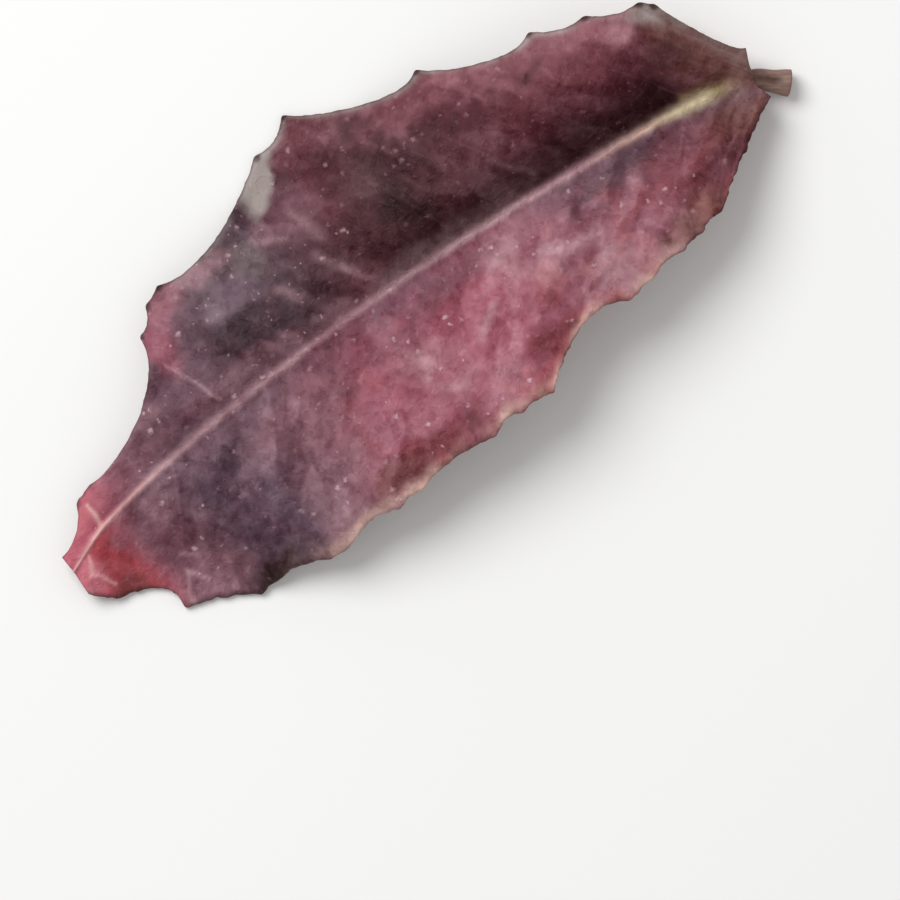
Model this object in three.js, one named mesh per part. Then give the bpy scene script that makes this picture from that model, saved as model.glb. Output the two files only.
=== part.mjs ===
// A leathery toothed leaf as picked, lying on the plane z = 0 with its upper face up.
// Millimetres, +Z up, +X from the stalk to the tip. The left half is the +Y one.
// It grew as one piece: blade, midrib, side veins and stalk are one closed body.
import * as THREE from "three";

// Driving dimensions
const TIP_X = 57.7;
const BLADE_THICKNESS = 0.78;
const RIM_THICKNESS = 0.62;
const STALK_RADIUS = 0.8;
const STALK_FOOT_RADIUS = 0.98;
const MIDRIB_HALF_WIDTH = 0.75;
const KEEL_DEPTH_AT_STALK = 0.9;
const KEEL_DEPTH_AT_TIP = 0.12;
const MIDRIB_CREST = 0.16;
const VEIN_WIDTH = 0.55;
const VEIN_RELIEF_ABOVE = 0.1;
const VEIN_RELIEF_BELOW = 0.2;
const VEIN_RUN = 7.6; // how far the first side vein runs towards the tip on its way to the margin
const VEIN_RUN_LOST = 0.45; // the share of that run which is lost by the tip
const VEIN_RISE = [0.03, 0.12]; // shares of the half's width between which a side vein rises
const VEIN_FADE = [0.7, 0.97]; // and between which it fades out
const VEIN_OBLIQUITY = 0.85; // turns a distance along X into one across a side vein
const RUFFLE = 0.45; // the margin rises this share of a scallop's depth between two teeth
const FLOOR_BLEND = 0.5; // the blade flattens on the floor over this height

// Mesh density
const ROWS = 92;
const COLUMNS = 9; // on each half
const COLUMN_CROWDING = 1.35; // above 1 the columns crowd towards the midrib
const MIDRIB_CROWDING = 1.25; // above 1 the rows start closer together at the stalk and lean to the tip
const SHORT_SCALLOP_BONUS = 1.5; // millimetres that each scallop counts extra when rows are shared out
const STALK_RINGS = 6;
const STALK_SIDE_ANGLE = THREE.MathUtils.degToRad(80); // where the stalk's upper and lower points end

// Tooth tips of each margin from its basal lobe to the tip: x, y, depth of the scallop that follows,
// and the share of its length at which that scallop is deepest.
const LEFT_TEETH = [
  [-1.7, 1.9, 0.12, 0.5],
  [5.9, 6.6, 0.25, 0.4],
  [7.8, 7.1, 0.28, 0.4],
  [9.6, 7.4, 0.45, 0.45],
  [12.5, 7.75, 0.2, 0.4],
  [14.8, 8.1, 1.5, 0.38],
  [22.8, 10.35, 0.4, 0.35],
  [25.4, 10.25, 0.6, 0.4],
  [27.8, 10.45, 0.5, 0.5],
  [34.3, 10.6, 0.35, 0.4],
  [36.3, 10.85, 0.65, 0.35],
  [40.9, 10.95, 0.1, 0.5],
  [42.3, 10.9, 0.65, 0.45],
  [47.8, 10.15, 0.35, 0.35],
  [52.9, 7.8, 1.25, 0.33],
  [56.1, 4.6, -0.1, 0.5],
  [57.7, 3.05, 0, 0.5],
];
const RIGHT_TEETH = [
  [-2.1, -1.8, 0.25, 0.35],
  [1.4, -8.0, 0.05, 0.5],
  [2.2, -8.75, 0.4, 0.45],
  [5.9, -10.15, 0.42, 0.42],
  [9.75, -11.5, 1.05, 0.36],
  [17.7, -14.0, 1.1, 0.34],
  [27.2, -16.8, 0.5, 0.5],
  [30.4, -15.5, 1.3, 0.6],
  [41.3, -11.9, 0.1, 0.4],
  [42.8, -11.25, 0.4, 0.45],
  [44.4, -9.65, 1.75, 0.42],
  [53.2, -3.1, -0.05, 0.5],
  [54.8, -2.6, 0.47, 0.42],
  [57.7, 0.0, 0, 0.5],
];
const SCALLOP_ROUNDNESS = 0.75; // below 1 a scallop has a flatter bottom

// Midrib from the stalk to the tip: x, y, height of the blade's underside.
const MIDRIB = [
  [-1.25, 0.15, 1.65],
  [-0.3, -0.35, 1.7],
  [2, -0.65, 1.78],
  [5, -1.05, 1.9],
  [12, -1.6, 2.2],
  [20, -2.1, 2.5],
  [30, -2.3, 2.7],
  [40, -1.95, 2.3],
  [48, -1.25, 1.6],
  [54, -0.25, 1.1],
  [57.7, 1.2, 1.0],
];
// Each half: x, bulge between midrib and margin, height of the underside at the margin.
// A height below zero flattens on the floor, which the leaf touches at a tooth of each half.
const LEFT_HALF = [
  [-2, 0, 2.6],
  [4, 0.25, 4.6],
  [12, 0.35, 6.1],
  [20, 0.4, 6.4],
  [30, 0.5, 5.9],
  [38, 0.6, 4.2],
  [45, 0.7, 1.2],
  [50, 0.6, -1.2],
  [53, 0.35, -1.2],
  [57.7, 0.1, 0.8],
];
const RIGHT_HALF = [
  [-2, 0.2, 2.9],
  [4, 1.7, 4.0],
  [12, 2.3, 3.0],
  [20, 2.2, 0.6],
  [27, 1.9, -1.9],
  [31, 1.7, -1.2],
  [37, 1.2, 0.9],
  [44, 0.8, 1.6],
  [50, 0.4, 1.3],
  [57.7, 0.05, 0.9],
];
const LEFT_BULGE_SKEW = 1;
const RIGHT_BULGE_SKEW = 0.8; // below 1 the bulge rises steeply beside the midrib

// Where the side veins leave the midrib.
const LEFT_VEINS = [3.5, 10, 16.5, 23, 29.5, 36, 42, 47.5, 52.5];
const RIGHT_VEINS = [2.5, 8.5, 14.8, 21.5, 27.9, 34.8, 41.6, 47.5, 53.6];

// Stalk's centre line from its foot scar to the blade.
const STALK_PATH = [
  [-3.5, 1.85, 0.93],
  [-2.7, 1.15, 1.1],
  [-1.85, 0.45, 1.42],
  [-1.25, 0.15, 1.6],
];

const { clamp, lerp, smoothstep } = THREE.MathUtils;

// Smooth value at x of one column of a table whose rows start with x.
function along(table, column, x) {
  const last = table.length - 1;
  let i = 0;
  while (i < last - 1 && x > table[i + 1][0]) {
    i += 1;
  }
  const slopeAt = (k) => {
    const before = table[Math.max(k - 1, 0)];
    const after = table[Math.min(k + 1, last)];
    return (after[column] - before[column]) / (after[0] - before[0]);
  };
  const from = table[i];
  const to = table[i + 1];
  const span = to[0] - from[0];
  const w = clamp((x - from[0]) / span, 0, 1);
  const rise = to[column] - from[column];
  const bowFrom = slopeAt(i) * span - rise;
  const bowTo = rise - slopeAt(i + 1) * span;
  return lerp(from[column], to[column], w) + w * (1 - w) * lerp(bowFrom, bowTo, w);
}

// Depth of a scallop at share w of its length, deepest (1) at share deepest.
function scallop(w, deepest) {
  const skewed = Math.pow(w, Math.log(0.5) / Math.log(deepest));
  return Math.pow(Math.max(Math.sin(Math.PI * skewed), 0), SCALLOP_ROUNDNESS);
}

// The margin as ROWS + 1 points, one of them on every tooth tip, each with the depth of its scallop there.
function marginOf(teeth, inwardSign) {
  const chords = teeth.slice(1).map((b, i) => Math.hypot(b[0] - teeth[i][0], b[1] - teeth[i][1]));
  const weights = chords.map((c) => c + SHORT_SCALLOP_BONUS);
  const total = weights.reduce((sum, v) => sum + v, 0);
  const points = [];
  let reached = 0;
  let firstRow = 0;
  weights.forEach((weight, i) => {
    reached += weight;
    const nextRow = Math.round((ROWS * reached) / total);
    const [ax, ay, sag, deepest] = teeth[i];
    const [bx, by] = teeth[i + 1];
    const inward = [(-inwardSign * (by - ay)) / chords[i], (inwardSign * (bx - ax)) / chords[i]];
    for (let row = firstRow; row < nextRow; row++) {
      const w = (row - firstRow) / (nextRow - firstRow);
      const depth = sag * scallop(w, deepest);
      points.push({
        x: lerp(ax, bx, w) + inward[0] * depth,
        y: lerp(ay, by, w) + inward[1] * depth,
        depth,
      });
    }
    firstRow = nextRow;
  });
  const [x, y] = teeth.at(-1);
  points.push({ x, y, depth: 0 });
  return points;
}

// Zero at and below -FLOOR_BLEND, unchanged above FLOOR_BLEND, smooth between.
function laidOnFloor(z) {
  if (z <= -FLOOR_BLEND) return 0;
  if (z >= FLOOR_BLEND) return z;
  return (z + FLOOR_BLEND) ** 2 / (4 * FLOOR_BLEND);
}

// Relief of the side veins, 0 to 1, at x and at share t of the way to the margin.
function veinRelief(stations, x, t) {
  const strength = smoothstep(t, ...VEIN_RISE) * (1 - smoothstep(t, ...VEIN_FADE));
  const ridges = stations.map((station) => {
    const run = VEIN_RUN * (1 - (VEIN_RUN_LOST * station) / TIP_X);
    const across = (x - station - run * t) * VEIN_OBLIQUITY;
    return Math.exp(-((across / VEIN_WIDTH) ** 2));
  });
  return strength * Math.max(...ridges);
}

// The blade's middle sheet as a grid: ROWS + 1 rows of 2 * COLUMNS + 1 points, right margin to left margin.
function bladeSheet() {
  const sides = [
    { margin: marginOf(RIGHT_TEETH, 1), half: RIGHT_HALF, skew: RIGHT_BULGE_SKEW, veins: RIGHT_VEINS },
    { margin: marginOf(LEFT_TEETH, -1), half: LEFT_HALF, skew: LEFT_BULGE_SKEW, veins: LEFT_VEINS },
  ];
  const rows = [];
  for (let i = 0; i <= ROWS; i++) {
    const x0 = lerp(MIDRIB[0][0], TIP_X, Math.pow(i / ROWS, MIDRIB_CROWDING));
    const y0 = along(MIDRIB, 1, x0);
    const row = [];
    for (let k = -COLUMNS; k <= COLUMNS; k++) {
      const side = sides[k < 0 ? 0 : 1];
      const t = Math.pow(Math.abs(k) / COLUMNS, COLUMN_CROWDING);
      const edge = side.margin[i];
      const x = lerp(x0, edge.x, t);
      const y = lerp(y0, edge.y, t);
      const marginZ = along(side.half, 2, x);
      const bulge = along(side.half, 1, x) * Math.sin(Math.PI * Math.pow(t, side.skew));
      const ruffle = RUFFLE * edge.depth * t ** 3;
      const z = laidOnFloor(lerp(along(MIDRIB, 2, x), marginZ, t) + bulge + ruffle);
      const fromMidrib = Math.hypot(x - x0, y - y0);
      row.push({ point: new THREE.Vector3(x, y, z), t, fromMidrib, veins: side.veins });
    }
    rows.push(row);
  }
  return rows;
}

// Unit normal of the sheet at a grid point, from its neighbours.
function sheetNormal(rows, i, j) {
  const at = (a, b) => rows[clamp(a, 0, rows.length - 1)][clamp(b, 0, rows[0].length - 1)].point;
  const forward = at(i + 1, j).clone().sub(at(i - 1, j));
  const leftward = at(i, j + 1).clone().sub(at(i, j - 1));
  return forward.cross(leftward).normalize();
}

// Upper and lower points of every blade row: the sheet given thickness, midrib, keel and veins.
function bladeSections() {
  const rows = bladeSheet();
  return rows.map((row, i) => {
    const section = { upper: [], lower: [] };
    row.forEach(({ point, t, fromMidrib, veins: stations }, j) => {
      const normal = sheetNormal(rows, i, j);
      const veins = veinRelief(stations, point.x, t);
      const midrib = Math.exp(-((fromMidrib / MIDRIB_HALF_WIDTH) ** 2));
      const shareOfLength = clamp(point.x / TIP_X, 0, 1);
      const keel = lerp(KEEL_DEPTH_AT_STALK, KEEL_DEPTH_AT_TIP, shareOfLength) * midrib;
      const thickness = lerp(BLADE_THICKNESS, RIM_THICKNESS, t);
      const above = thickness + MIDRIB_CREST * midrib + VEIN_RELIEF_ABOVE * veins;
      const below = keel + VEIN_RELIEF_BELOW * veins;
      const upper = point.clone().addScaledVector(normal, above);
      const lower = point.clone().addScaledVector(normal, -below);
      lower.z = Math.max(lower.z, 0);
      section.upper.push(upper);
      section.lower.push(lower);
    });
    return section;
  });
}

// Rings of the stalk from its foot to just before the blade, with as many points as a blade row.
function stalkSections() {
  const path = new THREE.CatmullRomCurve3(STALK_PATH.map((p) => new THREE.Vector3(...p)));
  const up = new THREE.Vector3(0, 0, 1);
  const sections = [];
  for (let ring = 0; ring < STALK_RINGS; ring++) {
    const share = ring / STALK_RINGS;
    const centre = path.getPointAt(share);
    const forward = path.getTangentAt(share);
    const leftward = up.clone().cross(forward).normalize();
    const upward = forward.cross(leftward).normalize();
    const radius = lerp(STALK_FOOT_RADIUS, STALK_RADIUS, smoothstep(share, 0, 0.5));
    const section = { upper: [], lower: [] };
    for (let k = -COLUMNS; k <= COLUMNS; k++) {
      const angle = (k / COLUMNS) * STALK_SIDE_ANGLE;
      const sideways = centre.clone().addScaledVector(leftward, radius * Math.sin(angle));
      const rise = radius * Math.cos(angle);
      section.upper.push(sideways.clone().addScaledVector(upward, rise));
      const lower = sideways.clone().addScaledVector(upward, -rise);
      lower.z = Math.max(lower.z, 0);
      section.lower.push(lower);
    }
    sections.push(section);
  }
  return sections;
}

// One closed skin over a run of sections: both faces, both rims, the foot scar and the blunt tip.
function skinOver(sections) {
  const width = sections[0].upper.length;
  const points = sections.flatMap(({ upper, lower }) => [...upper, ...lower]);
  const upper = (i, j) => i * 2 * width + j;
  const lower = (i, j) => upper(i, j) + width;
  const faces = [];
  const quad = (a, b, c, d) => faces.push(a, b, c, a, c, d);
  const lastRow = sections.length - 1;
  for (let i = 0; i < lastRow; i++) {
    for (let j = 0; j < width - 1; j++) {
      quad(upper(i, j), upper(i + 1, j), upper(i + 1, j + 1), upper(i, j + 1));
      // the same diagonal as above, turned to face down
      faces.push(lower(i, j), lower(i + 1, j + 1), lower(i + 1, j));
      faces.push(lower(i, j), lower(i, j + 1), lower(i + 1, j + 1));
    }
    quad(upper(i, 0), lower(i, 0), lower(i + 1, 0), upper(i + 1, 0));
    const j = width - 1;
    quad(upper(i, j), upper(i + 1, j), lower(i + 1, j), lower(i, j));
  }
  for (let j = 0; j < width - 1; j++) {
    quad(upper(0, j), upper(0, j + 1), lower(0, j + 1), lower(0, j));
    quad(upper(lastRow, j), lower(lastRow, j), lower(lastRow, j + 1), upper(lastRow, j + 1));
  }
  const skin = new THREE.BufferGeometry().setFromPoints(points);
  skin.setIndex(faces);
  skin.computeVertexNormals();
  return skin;
}

const winterPurple = new THREE.MeshStandardMaterial({ color: 0x6e3f4c, roughness: 0.45, metalness: 0 });
const skin = skinOver([...stalkSections(), ...bladeSections()]);
const leaf = new THREE.Mesh(skin, winterPurple);
leaf.name = "leaf";

// The frame's origin is the middle of the leaf's outline, on the floor.
skin.computeBoundingBox();
const middle = skin.boundingBox.getCenter(new THREE.Vector3());
leaf.position.set(-middle.x, -middle.y, 0);

const part = new THREE.Group();
part.add(leaf);
export default part;
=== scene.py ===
# Looks of a leathery toothed leaf that lies face up on a pale floor in soft studio light.
# The leaf is worked out in millimetres: x from the stalk to the tip, y towards its left half,
# z up from the floor. It becomes metres when its mesh is made.
import math

import bpy
import numpy as np
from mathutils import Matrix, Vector, kdtree, noise


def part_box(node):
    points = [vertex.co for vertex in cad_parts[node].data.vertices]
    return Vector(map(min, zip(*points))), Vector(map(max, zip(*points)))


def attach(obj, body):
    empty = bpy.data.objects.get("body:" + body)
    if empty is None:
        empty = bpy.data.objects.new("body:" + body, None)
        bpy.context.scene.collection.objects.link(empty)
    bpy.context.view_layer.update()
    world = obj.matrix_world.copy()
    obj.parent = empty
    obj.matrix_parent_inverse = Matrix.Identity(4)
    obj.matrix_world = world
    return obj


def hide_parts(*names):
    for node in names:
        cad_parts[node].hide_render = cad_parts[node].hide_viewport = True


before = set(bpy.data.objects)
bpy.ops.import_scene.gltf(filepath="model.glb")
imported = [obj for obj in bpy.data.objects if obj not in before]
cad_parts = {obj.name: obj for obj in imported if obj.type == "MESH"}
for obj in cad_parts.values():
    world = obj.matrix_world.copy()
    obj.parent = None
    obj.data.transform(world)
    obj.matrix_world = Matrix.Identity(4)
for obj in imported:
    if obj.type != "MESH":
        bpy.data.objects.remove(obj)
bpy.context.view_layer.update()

MM = 0.001

# Shape of the blade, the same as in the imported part
TIP_X = 57.7
BLADE_THICKNESS = 0.78
RIM_THICKNESS = 0.62
VEIN_RUN = 7.6
VEIN_RUN_LOST = 0.45
RUFFLE = 0.45
RUFFLE_REACH = 3
FLOOR_BLEND = 0.5
MIDRIB_CROWDING = 1.25
SHORT_SCALLOP_BONUS = 1.5
SCALLOP_ROUNDNESS = 0.75
LEFT_BULGE_SKEW = 1.0
RIGHT_BULGE_SKEW = 0.8
KEEL_HALF_WIDTH = 0.75
KEEL_DEPTH_AT_STALK = 0.9
KEEL_DEPTH_AT_TIP = 0.12

# Tooth tips of each margin: x, y, depth of the scallop that follows, share at which it is deepest
LEFT_TEETH = [
    (-1.7, 1.9, 0.12, 0.5),
    (5.9, 6.6, 0.25, 0.4),
    (7.8, 7.1, 0.28, 0.4),
    (9.6, 7.4, 0.45, 0.45),
    (12.5, 7.75, 0.2, 0.4),
    (14.8, 8.1, 1.5, 0.38),
    (22.8, 10.35, 0.4, 0.35),
    (25.4, 10.25, 0.6, 0.4),
    (27.8, 10.45, 0.5, 0.5),
    (34.3, 10.6, 0.35, 0.4),
    (36.3, 10.85, 0.65, 0.35),
    (40.9, 10.95, 0.1, 0.5),
    (42.3, 10.9, 0.65, 0.45),
    (47.8, 10.15, 0.35, 0.35),
    (52.9, 7.8, 1.25, 0.33),
    (56.1, 4.6, -0.1, 0.5),
    (57.7, 3.05, 0.0, 0.5),
]
RIGHT_TEETH = [
    (-2.1, -1.8, 0.25, 0.35),
    (1.4, -8.0, 0.05, 0.5),
    (2.2, -8.75, 0.4, 0.45),
    (5.9, -10.15, 0.42, 0.42),
    (9.75, -11.5, 1.05, 0.36),
    (17.7, -14.0, 1.1, 0.34),
    (27.2, -16.8, 0.5, 0.5),
    (30.4, -15.5, 1.3, 0.6),
    (41.3, -11.9, 0.1, 0.4),
    (42.8, -11.25, 0.4, 0.45),
    (44.4, -9.65, 1.75, 0.42),
    (53.2, -3.1, -0.05, 0.5),
    (54.8, -2.6, 0.47, 0.42),
    (57.7, 0.0, 0.0, 0.5),
]
# Midrib: x, y, height of the blade's underside
MIDRIB = [
    (-1.25, 0.15, 1.65),
    (-0.3, -0.35, 1.7),
    (2.0, -0.65, 1.78),
    (5.0, -1.05, 1.9),
    (12.0, -1.6, 2.2),
    (20.0, -2.1, 2.5),
    (30.0, -2.3, 2.7),
    (40.0, -1.95, 2.3),
    (48.0, -1.25, 1.6),
    (54.0, -0.25, 1.1),
    (57.7, 1.2, 1.0),
]
# Each half: x, bulge between midrib and margin, height of the underside at the margin
LEFT_HALF = [
    (-2.0, 0.0, 2.6),
    (4.0, 0.25, 4.6),
    (12.0, 0.35, 6.1),
    (20.0, 0.4, 6.4),
    (30.0, 0.5, 5.9),
    (38.0, 0.6, 4.2),
    (45.0, 0.7, 1.2),
    (50.0, 0.6, -1.2),
    (53.0, 0.35, -1.2),
    (57.7, 0.1, 0.8),
]
RIGHT_HALF = [
    (-2.0, 0.2, 2.9),
    (4.0, 1.7, 4.0),
    (12.0, 2.3, 3.0),
    (20.0, 2.2, 0.6),
    (27.0, 1.9, -1.9),
    (31.0, 1.7, -1.2),
    (37.0, 1.2, 0.9),
    (44.0, 0.8, 1.6),
    (50.0, 0.4, 1.3),
    (57.7, 0.05, 0.9),
]
# Side veins: where each leaves the midrib, and how clearly it shows from above
LEFT_VEINS = [
    (-11.0, 0.05),
    (-3.5, 0.1),
    (3.5, 0.15),
    (10.0, 0.1),
    (16.5, 0.12),
    (23.0, 0.1),
    (29.5, 0.15),
    (36.0, 0.15),
    (42.0, 0.1),
    (47.5, 0.15),
    (52.5, 0.1),
    (57.0, 0.1),
    (63.0, 0.1),
]
RIGHT_VEINS = [
    (-11.0, 0.05),
    (-3.5, 0.1),
    (2.5, 0.1),
    (8.5, 0.06),
    (14.8, 0.08),
    (21.5, 0.06),
    (27.9, 0.0),
    (34.8, 0.1),
    (41.6, 0.0),
    (47.5, 0.0),
    (53.6, 0.0),
    (58.5, 0.0),
    (64.0, 0.1),
]
VEIN_SPACING = 6.4
# Stalk's centre line from its foot scar to the blade
STALK_PATH = [
    (-3.5, 1.85, 0.93),
    (-2.7, 1.15, 1.1),
    (-1.85, 0.45, 1.42),
    (-1.25, 0.15, 1.6),
]
STALK_RADIUS = 0.8
STALK_FOOT_RADIUS = 0.98
STALK_SIDE_ANGLE = math.radians(80)

# Density of the skin
ROWS = 380
INNER_COLUMNS = 53  # on each half, from the midrib to the rounded rim
COLUMN_CROWDING = 1.3
RIM_STEPS = (0.3, 0.55, 0.75, 0.9, 1.0)  # further columns across the rounded rim, as shares of its width
STALK_RINGS = 20
EVENING = 14  # rows over which the margin's teeth are evened out
TIP_ROUNDING = 3  # rows over which a tooth tip is rounded
TOOTH_REACH = 4  # the higher, the closer to the margin a tooth begins

# A range, here and below, is two values between which something changes smoothly from 0 to 1.
# Where it changes otherwise, what it changes from and to are added.
# A span is two ranges, one where something starts and one where it ends.

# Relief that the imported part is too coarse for, in millimetres
RIM_WIDTH = 0.5
NARROW_RIM_SHARE = 0.3  # the rim is at most this share of a half's width
RIM_DROP = 0.3
RIM_RISE = 0.14
RIGHT_FRAY = 0.05
LEFT_FRAY = 0.12
FRAY_FADE = 8  # the higher, the closer to a tooth tip the fraying ends
RIGHT_KNOB = 0.18  # a tooth ends in a small blunt gland
LEFT_KNOB = 0.08
KNOB_SIZE = 0.35
VALLEY_ROUNDING = 0.55  # of the fold along the midrib
QUILT = 0.11  # the blade swells between the side veins
NET_RELIEF = 0.016
NET_SLOPE = (0, 0.6)
RIB_CREST = 0.12
RIB_FOOT_CREST = 0.16  # where the stalk runs out into the blade
RIB_FOOT_RUN = (1, 11)
RIB_GROOVE = 0.03
GROOVE_PLACE = 1.9  # from the midrib's middle, in half widths of the midrib
GROOVE_HALF_WIDTH = 0.35
VEIN_CREST = 0.035
VEIN_BELOW = 0.16
VEIN_HALF_WIDTH = 0.3
STALK_CHANNEL = 0.26
# Ranges of that relief, in shares of a half's width
UNDULATION_RISE = (0.02, 0.3)
PUCKER_RISE = (0.03, 0.15)
NET_RISE = (0.02, 0.1)
VEIN_SPAN = ((0.04, 0.2), (0.8, 0.98, 1, 0))
VEIN_FORKING = (0.6, 0.95, 0, 0.5)  # the forks part by half the space between two veins
# Ranges along the stalk, in shares of its length, and the half width of its channel in radians
STALK_TAPER = (0, 0.5)
CHANNEL_START = (0.1, 0.4)
CHANNEL_HALF_ANGLE = 0.42
# Random relief, in layers: height, size of its hills, and seed, to which a half's own seed is added
FRAY = ((1.0, 0.8, 0.0), (1.0, 0.35, 0.0))  # its heights are shares of RIGHT_FRAY or LEFT_FRAY
UNDULATION = ((0.2, 7.0, 0.0),)
VEIN_BEND = ((0.05, 2.5, 5.0), (0.025, 0.9, 6.0))  # its height in spaces between two veins
RIGHT_SEED = 3.0
LEFT_SEED = 11.0
# Random relief that both halves share
PUCKER = ((0.05, 2.6, 21.0), (0.03, 1.1, 23.0))
# Net of veinlets: random cells over all of the blade
NET_CELL = 1.2
NET_ALONG = (-6, 62)
NET_ACROSS = (-20, 14)
NET_JITTER = 0.42  # of a cell's size
NET_SLANT = 0.4
NET_SEED = 7
# Half the midrib's width on the upper face: x, half width
RIB_WIDTH = [
    (-1.25, 0.5),
    (1.0, 0.4),
    (4.0, 0.36),
    (9.0, 0.34),
    (25.0, 0.37),
    (48.0, 0.32),
    (52.0, 0.26),
    (55.0, 0.18),
    (57.7, 0.12),
]


def srgb(red, green, blue):
    """A paint as linear red, green and blue, from its 0 to 255 screen values."""
    screen = np.array((red, green, blue)) / 255
    return np.where(screen <= 0.04045, screen / 12.92, ((screen + 0.055) / 1.055) ** 2.4)


ROSE = srgb(147, 77, 93)
OLD_ROSE = srgb(142, 88, 100)
RUBY = srgb(116, 54, 61)
DUSK = srgb(97, 66, 78)
MAUVE = srgb(122, 82, 93)
LILAC = srgb(168, 126, 134)
DUSKY_LILAC = srgb(154, 117, 124)
SLATE = srgb(82, 60, 72)
DUSKY_SLATE = srgb(72, 52, 60)
WARM_SLATE = srgb(86, 62, 65)
HAZE = srgb(122, 100, 112)
WINE = srgb(84, 38, 48)
DARK_WINE = srgb(52, 22, 26)
UMBER = srgb(50, 30, 30)
DUSKY_ROSE = srgb(142, 88, 98)
RASPBERRY = srgb(152, 86, 100)
ASH = srgb(161, 150, 146)
BROWN = srgb(98, 58, 54)
CRIMSON = srgb(164, 70, 78)
PINK = srgb(185, 99, 114)
LIGHT_PINK = srgb(222, 140, 146)
TAN = srgb(202, 166, 154)
CREAM = srgb(216, 198, 165)
OLIVE = srgb(150, 131, 98)
PALE_VEIN = srgb(178, 142, 146)
PALE_PINK = srgb(200, 146, 147)
BLUSH_VEIN = srgb(230, 178, 175)
GLAND = srgb(58, 38, 32)
BARK = srgb(133, 104, 93)
BARK_GROOVE = srgb(84, 56, 46)
UNDERSIDE = srgb(150, 116, 112)
UNDERSIDE_RIB = srgb(182, 158, 134)
UNDERSIDE_BLUSH = srgb(134, 88, 94)
SALMON = srgb(176, 92, 92)
# pale pink of the painted glints on glands and flecks
GLINT_SPECK = srgb(216, 176, 184)
PEARL = srgb(196, 156, 164)

# Ground paint of each half along the leaf: x, paint
LEFT_GROUND = [
    (-1.0, BROWN),
    (1.5, BROWN),
    (4.0, RUBY),
    (6.0, RUBY),
    (9.0, OLD_ROSE),
    (17.0, OLD_ROSE),
    (22.0, ROSE),
    (32.5, ROSE),
    (38.5, MAUVE),
    # from here to x 47 the slate is partly the leaf's own colour, partly painted sheen
    (43.0, SLATE),
    (47.0, SLATE),
    (50.0, MAUVE),
    (51.6, MAUVE),
    (52.5, OLD_ROSE),
    (54.6, CRIMSON),
    (55.9, CRIMSON),
    (56.9, PINK),
]
RIGHT_GROUND = [
    (-1.0, BROWN),
    (2.0, BROWN),
    (4.4, WINE),
    (17.0, WINE),
    (24.0, DARK_WINE),
    (29.0, WINE),
    # from here to x 47 the slate and dusk are partly the leaf's own colour, partly painted sheen
    (34.0, DUSKY_SLATE),
    (39.0, DUSKY_SLATE),
    (43.0, DUSK),
    (47.0, DUSK),
    (50.4, MAUVE),
    (52.4, OLD_ROSE),
    (54.6, PINK),
    (57.7, PINK),
]
# Soft patches of paint on that ground: paint, x, y, reach along x, reach along y, strength
LEFT_PATCHES = [
    # partly the leaf's own colour, partly painted sheen beside the midrib
    (DUSKY_SLATE, 10.4, 0.2, 3.6, 0.9, 0.55),
    (MAUVE, 23.5, -0.5, 4.5, 1.1, 0.6),
    (LILAC, 20.0, -0.6, 3.0, 1.0, 0.25),
    (LILAC, 13.6, 5.5, 2.8, 2.0, 0.66),
    (LILAC, 17.5, 2.6, 2.6, 1.2, 0.5),
    (LILAC, 25.5, 8.4, 2.4, 1.3, 0.25),
    (LILAC, 28.8, 3.2, 1.8, 1.1, 0.35),
    (RUBY, 19.0, 7.6, 4.2, 1.3, 0.75),
    (RUBY, 30.5, 8.8, 3.4, 1.4, 0.95),
    (BROWN, 35.0, 9.3, 2.8, 1.3, 0.65),
    (DUSK, 39.6, 6.2, 2.6, 2.0, 0.35),
    (LILAC, 40.0, 9.2, 1.7, 1.4, 0.18),
    (MAUVE, 37.0, 1.6, 3.6, 2.0, 0.7),
    (UMBER, 45.3, 9.6, 2.8, 1.2, 0.95),
    (MAUVE, 48.6, 7.5, 2.8, 1.6, 0.65),
    (MAUVE, 30.4, 1.3, 2.6, 1.1, 0.4),
    (BROWN, 55.3, 4.4, 1.0, 1.2, 0.6),
    # partly the leaf's own dark tint, partly painted shadow near the left margin at the base
    (WINE, 3.4, 3.8, 3.2, 1.5, 0.85),
    (OLD_ROSE, 6.2, 2.0, 1.6, 1.1, 0.7),
    # partly the leaf's own dark tint, partly painted shadow near the left margin at the base
    (WINE, 6.0, 5.4, 1.8, 1.1, 0.5),
    (MAUVE, 5.0, 0.8, 2.2, 1.0, 0.6),
    (LIGHT_PINK, 57.0, 2.6, 0.8, 1.0, 0.3),
    (OLD_ROSE, 53.8, 1.4, 0.8, 0.9, 0.6),
    # partly the leaf's own dark tint, partly painted shadow near the left margin at the base
    (BROWN, 8.0, 6.2, 3.0, 1.3, 0.95),
]
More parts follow.
